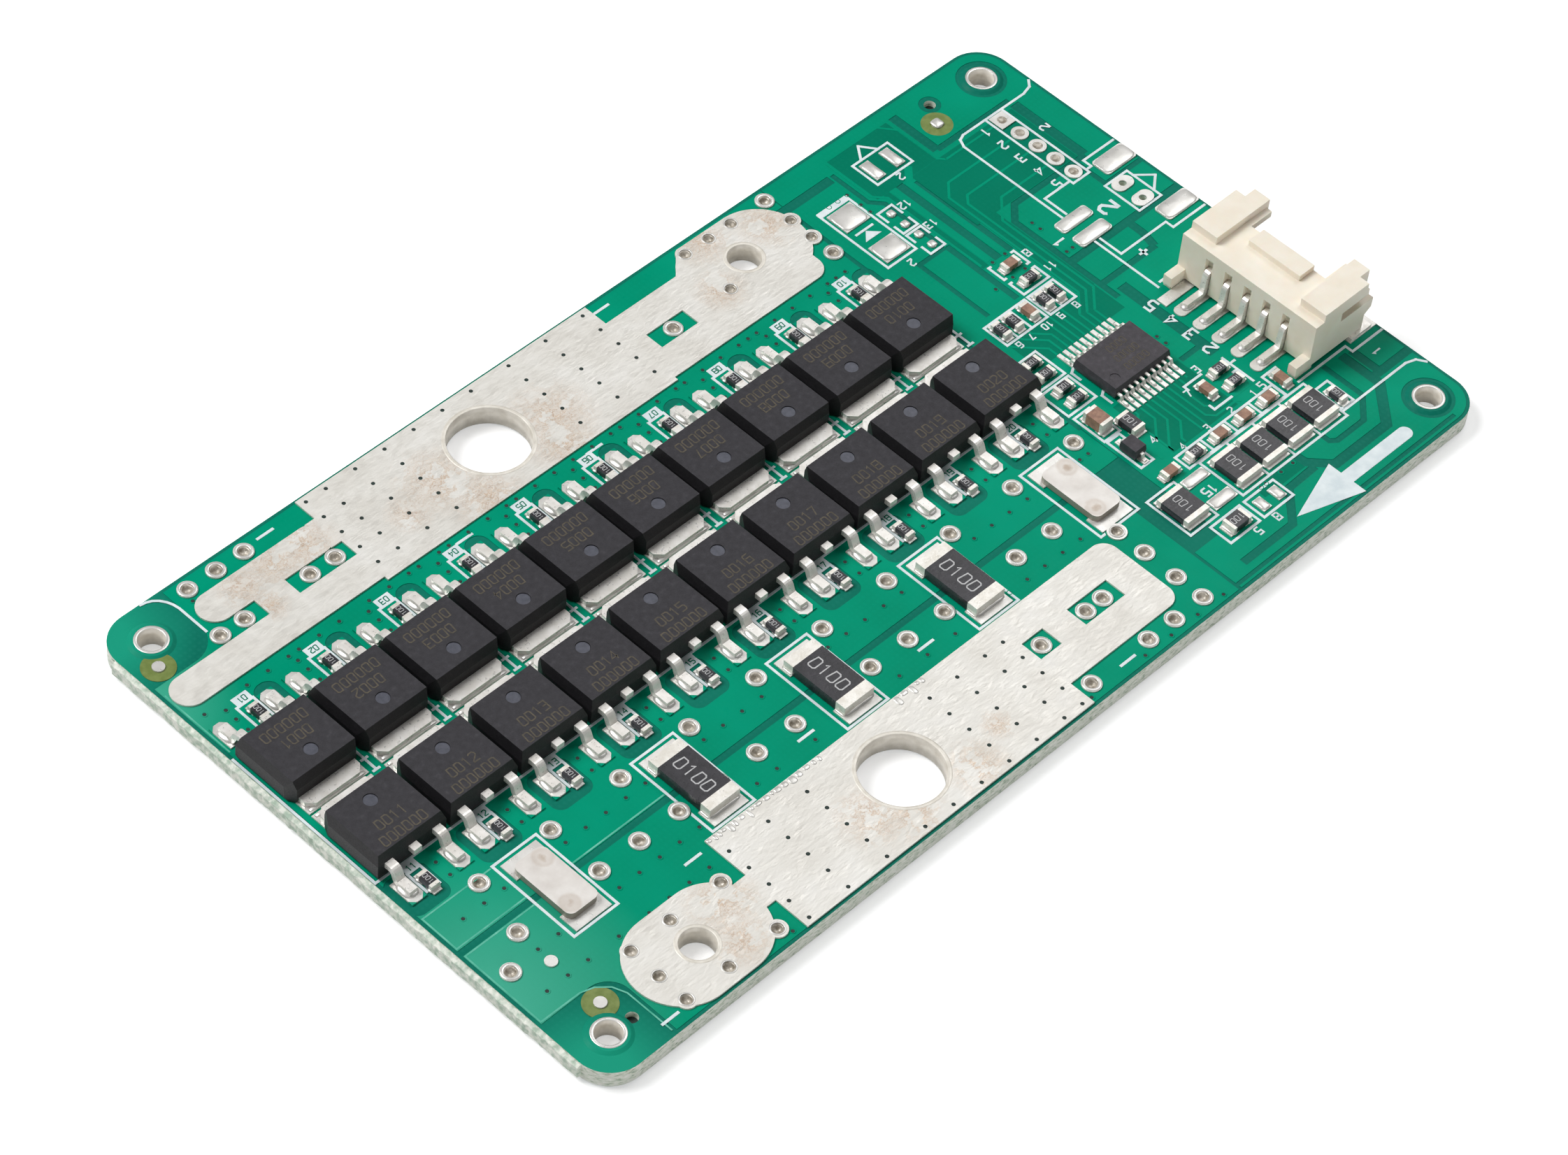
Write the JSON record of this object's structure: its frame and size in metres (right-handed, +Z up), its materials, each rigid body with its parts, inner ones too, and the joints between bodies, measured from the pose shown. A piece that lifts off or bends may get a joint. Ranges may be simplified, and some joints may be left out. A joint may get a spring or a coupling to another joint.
{
  "type": "battery management board",
  "caption": "Protection board for a battery pack: rows of power transistors between two tinned power lands, current shunts, a controller and a side-entry balance socket.",
  "frame": {"origin": "centre of the four corner holes on the underside of the board", "axes": "+X along the board towards the balance connector, +Y across it towards the P- land, +Z up from the underside to the component side"},
  "size_m": [0.096, 0.0544, 0.0071],
  "materials": {
    "board": "dark green solder mask over bare laminate, satin gloss",
    "masked_copper": "light green solder mask over copper, satin gloss",
    "tinned_copper": "dull tinned copper with solder ripples and brown flux stains",
    "solder": "bright solder",
    "white_print": "matt white ink",
    "transistor_moulding": "matt black moulding compound",
    "lead_metal": "tin plate",
    "connector_nylon": "natural nylon",
    "chip_moulding": "matt dark grey moulding compound",
    "resistor_coat": "black glaze",
    "end_metal": "tinned ends",
    "jumper_metal": "bright tinned plate with faint round stains",
    "capacitor_ceramic": "fired brown ceramic"
  },
  "bodies": {
    "root": {"circuit_board": "board", "copper_pours": "masked_copper", "p_minus_land": "tinned_copper", "b_minus_land": "tinned_copper", "solder_lands": "solder", "printed_marks": "white_print", "mosfet_body_01": "transistor_moulding", "mosfet_body_02": "transistor_moulding", "mosfet_body_03": "transistor_moulding", "mosfet_body_04": "transistor_moulding", "mosfet_body_05": "transistor_moulding", "mosfet_body_06": "transistor_moulding", "mosfet_body_07": "transistor_moulding", "mosfet_body_08": "transistor_moulding", "mosfet_body_09": "transistor_moulding", "mosfet_body_10": "transistor_moulding", "mosfet_body_11": "transistor_moulding", "mosfet_body_12": "transistor_moulding", "mosfet_body_13": "transistor_moulding", "mosfet_body_14": "transistor_moulding", "mosfet_body_15": "transistor_moulding", "mosfet_body_16": "transistor_moulding", "mosfet_body_17": "transistor_moulding", "mosfet_body_18": "transistor_moulding", "mosfet_body_19": "transistor_moulding", "mosfet_body_20": "transistor_moulding", "mosfet_frame_01": "lead_metal", "mosfet_frame_02": "lead_metal", "mosfet_frame_03": "lead_metal", "mosfet_frame_04": "lead_metal", "mosfet_frame_05": "lead_metal", "mosfet_frame_06": "lead_metal", "mosfet_frame_07": "lead_metal", "mosfet_frame_08": "lead_metal", "mosfet_frame_09": "lead_metal", "mosfet_frame_10": "lead_metal", "mosfet_frame_11": "lead_metal", "mosfet_frame_12": "lead_metal", "mosfet_frame_13": "lead_metal", "mosfet_frame_14": "lead_metal", "mosfet_frame_15": "lead_metal", "mosfet_frame_16": "lead_metal", "mosfet_frame_17": "lead_metal", "mosfet_frame_18": "lead_metal", "mosfet_frame_19": "lead_metal", "mosfet_frame_20": "lead_metal", "connector_housing": "connector_nylon", "connector_pins": "lead_metal", "connector_tabs": "lead_metal", "controller_body": "chip_moulding", "controller_leads": "lead_metal", "shunt_bodies": "resistor_coat", "shunt_terminals": "end_metal", "jumper_plates": "jumper_metal", "balance_resistors": "resistor_coat", "chip_resistors": "resistor_coat", "chip_capacitors": "capacitor_ceramic", "chip_terminals": "end_metal", "diode_body": "chip_moulding", "diode_leads": "lead_metal"}
  },
  "joints": []
}
